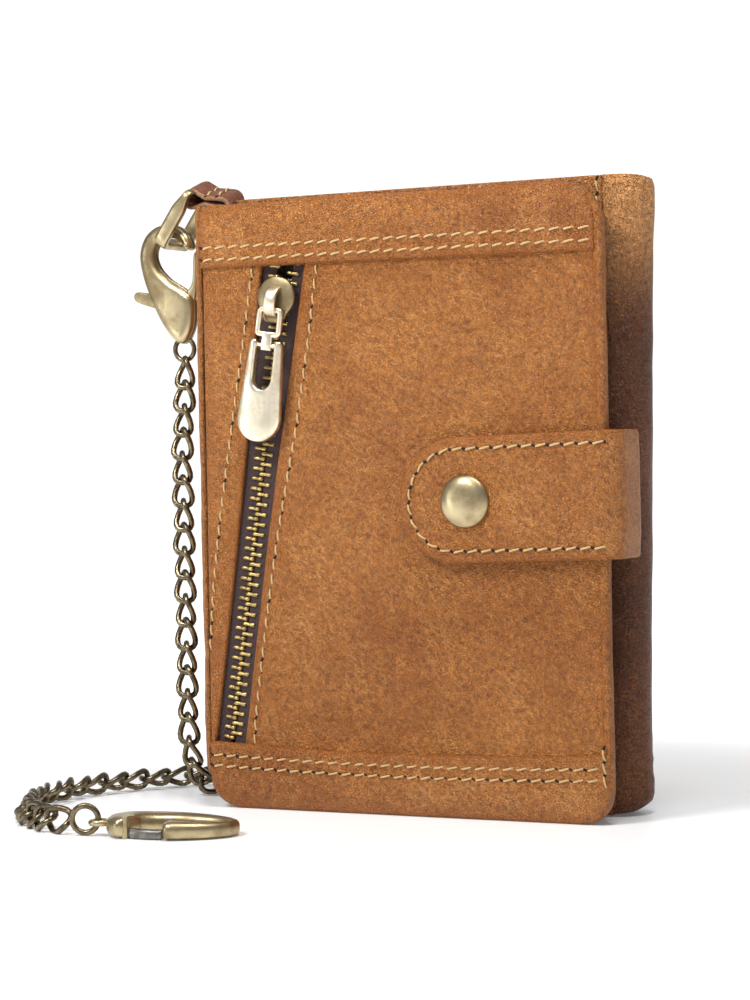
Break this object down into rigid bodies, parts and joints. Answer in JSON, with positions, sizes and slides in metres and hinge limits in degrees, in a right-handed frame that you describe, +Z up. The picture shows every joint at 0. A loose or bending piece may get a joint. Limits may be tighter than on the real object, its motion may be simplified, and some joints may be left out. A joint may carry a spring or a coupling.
{
  "type": "chain wallet",
  "caption": "Upright leather bifold wallet with a slanted zip coin pocket, snap strap, and a curb chain hung from a corner loop, ending in a trigger clip.",
  "frame": {"origin": "on the bottom edge of the closed wallet, at the middle of the flap's width and of the depth between the pocket's front face and the back cover's outer face", "axes": "+Z up along the wallet's height, the front flap and its zip face -Y, the spine and the chain are on the -X side"},
  "size_m": [0.1274, 0.0784, 0.1257],
  "materials": {
    "hide": "tan pull-up leather, satin, fine grain",
    "hide_dark": "dark brown leather, satin",
    "cloth": "dark brown woven cloth",
    "tape": "dark brown woven zip tape",
    "teeth": "antique brass",
    "brass": "brushed antique brass, satin",
    "gunmetal": "dark antique brass",
    "film": "clear soft film"
  },
  "bodies": {
    "back": {"back_cover": "hide", "edge_wrap": "hide", "inner_panel": "hide", "bottom_fold": "hide", "bill_divider": "cloth", "card_slot_1": "hide", "card_slot_2": "hide", "card_slot_3": "hide", "spine": "hide", "hang_loop": "hide_dark", "strap_tab": "hide", "strap_bend": "hide", "chain_upper": "gunmetal"},
    "flap": {"pocket_panel": "hide", "pocket_strip": "hide", "top_band": "hide", "bottom_band": "hide", "flap_gusset": "hide", "coin_lining": "cloth", "flap_base": "hide", "flap_lining": "hide_dark", "id_frame": "hide", "id_film": "film", "zip_tape_left": "tape", "zip_tape_right": "tape", "zip_teeth_left": "teeth", "zip_teeth_right": "teeth", "zip_bottom_stop": "teeth", "snap_stud": "brass"},
    "strap": {"strap_outer": "hide", "strap_lining": "hide_dark", "snap_cap": "brass", "snap_socket": "brass"},
    "slider": {"slider_body": "brass", "slider_bridge": "brass"},
    "pull_link": {"pull_link": "brass"},
    "pull_tab": {"pull_tab": "brass"},
    "clasp": {"loop_ring": "brass", "clasp_body": "brass", "clasp_pin": "brass", "clasp_spring": "brass", "jump_ring": "gunmetal"},
    "clasp_lever": {"clasp_lever": "brass"},
    "chain_end": {"chain_lower": "gunmetal", "end_ring": "gunmetal", "clip_body": "brass", "clip_pin": "brass"},
    "clip_gate": {"clip_gate": "brass"}
  },
  "joints": [
    {"name": "flap_fold", "type": "hinge", "parent": "back", "child": "flap", "pos_m": [-0.044, -0.0122, 0.06], "axis": [0, 0, -1], "range_deg": [0, 160]},
    {"name": "strap_fold", "type": "hinge", "parent": "back", "child": "strap", "pos_m": [0.0468, -0.0065, 0.0605], "axis": [0, 0, 1], "range_deg": [0, 150], "deforming": ["strap_bend"]},
    {"name": "zip_slide", "type": "slide", "parent": "flap", "child": "slider", "axis": [-0.1495, 0, -0.9888], "range_m": [0, 0.07], "deforming": ["zip_tape_left", "zip_tape_right", "zip_teeth_left", "zip_teeth_right"]},
    {"name": "pull_link_swing", "type": "hinge", "parent": "slider", "child": "pull_link", "pos_m": [-0.02601, -0.0144, 0.09815], "axis": [-0.9888, 0, 0.1495], "range_deg": [0, 120]},
    {"name": "pull_tab_swing", "type": "hinge", "parent": "pull_link", "child": "pull_tab", "pos_m": [-0.02703, -0.0144, 0.09143], "axis": [-0.9888, 0, 0.1495], "range_deg": [0, 60]},
    {"name": "ring_swing", "type": "hinge", "parent": "back", "child": "clasp", "pos_m": [-0.0504, 0, 0.1233], "axis": [0, 1, 0], "range_deg": [0, 40], "deforming": ["chain_upper"]},
    {"name": "clasp_lever_press", "type": "hinge", "parent": "clasp", "child": "clasp_lever", "pos_m": [-0.0554, -0.0014, 0.101], "axis": [0, -1, 0], "range_deg": [0, 25], "stiffness_Nm_per_rad": 0.002, "springref_deg": -17.19},
    {"name": "chain_turn", "type": "hinge", "parent": "back", "child": "chain_end", "pos_m": [-0.055, 0.017, 0.0024], "axis": [0, 0, -1], "range_deg": [0, 96], "deforming": ["chain_lower"]},
    {"name": "clip_gate_press", "type": "hinge", "parent": "chain_end", "child": "clip_gate", "pos_m": [-0.03487, -0.05675, 0.0021], "axis": [0, 0, 1], "range_deg": [0, 25], "stiffness_Nm_per_rad": 0.002, "springref_deg": -17.19}
  ],
  "couplings": [
    {"joint": "chain_turn", "follows": "flap_fold", "ratio": 0.6}
  ]
}
